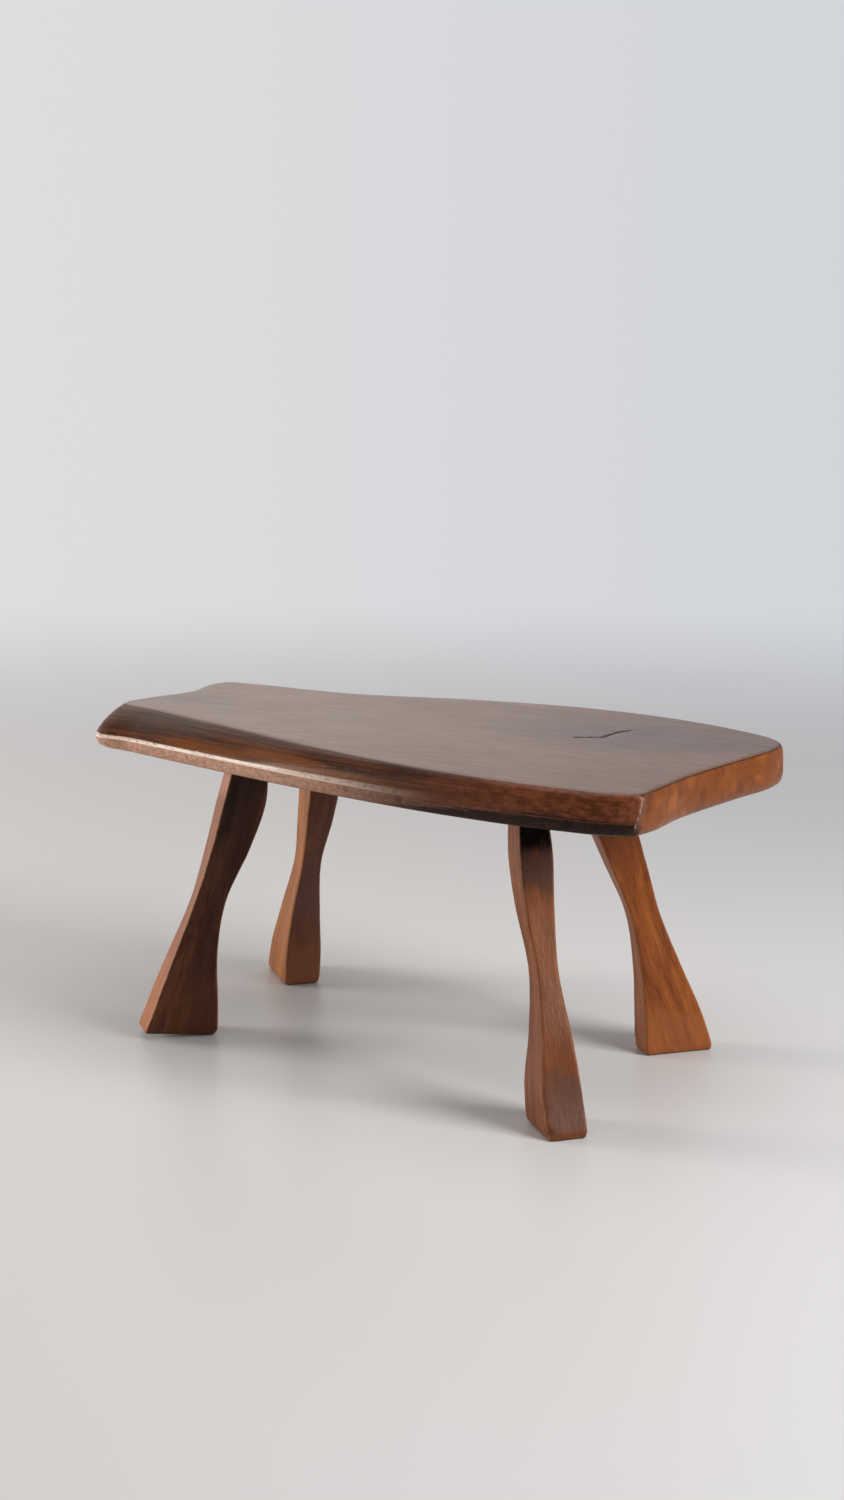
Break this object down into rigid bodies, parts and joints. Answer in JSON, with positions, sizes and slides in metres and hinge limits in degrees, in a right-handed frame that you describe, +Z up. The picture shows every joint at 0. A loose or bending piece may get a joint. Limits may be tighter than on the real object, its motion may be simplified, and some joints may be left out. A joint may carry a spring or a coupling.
{
  "type": "kneeling bench",
  "caption": "Low free-form bench: a live-edge hardwood slab on splayed, S-shaped carved wooden legs, with hidden dowel joints.",
  "frame": {"origin": "on the floor, below the middle of the whole bench's box", "axes": "+X along the slab towards its squarer, wider end; +Y across it, away from the wide natural edge; +Z up, the slab's flat top faces +Z"},
  "size_m": [0.64, 0.3724, 0.3],
  "materials": {
    "slab_wood": "dark brown hardwood, waxed to a soft gloss, worn and slightly dented at the edges",
    "leg_wood": "red-brown hardwood, waxed satin, with pale worn edges and small chips at the feet",
    "dowel_wood": "plain light dowel, bare and matt"
  },
  "bodies": {
    "root": {"slab_top": "slab_wood", "leg_front_left": "leg_wood", "leg_back_left": "leg_wood", "leg_front_right": "leg_wood", "leg_back_right": "leg_wood", "dowel_front_left_outer": "dowel_wood", "dowel_front_left_inner": "dowel_wood", "dowel_back_left_outer": "dowel_wood", "dowel_back_left_inner": "dowel_wood", "dowel_front_right_outer": "dowel_wood", "dowel_front_right_inner": "dowel_wood", "dowel_back_right_outer": "dowel_wood", "dowel_back_right_inner": "dowel_wood"}
  },
  "joints": []
}
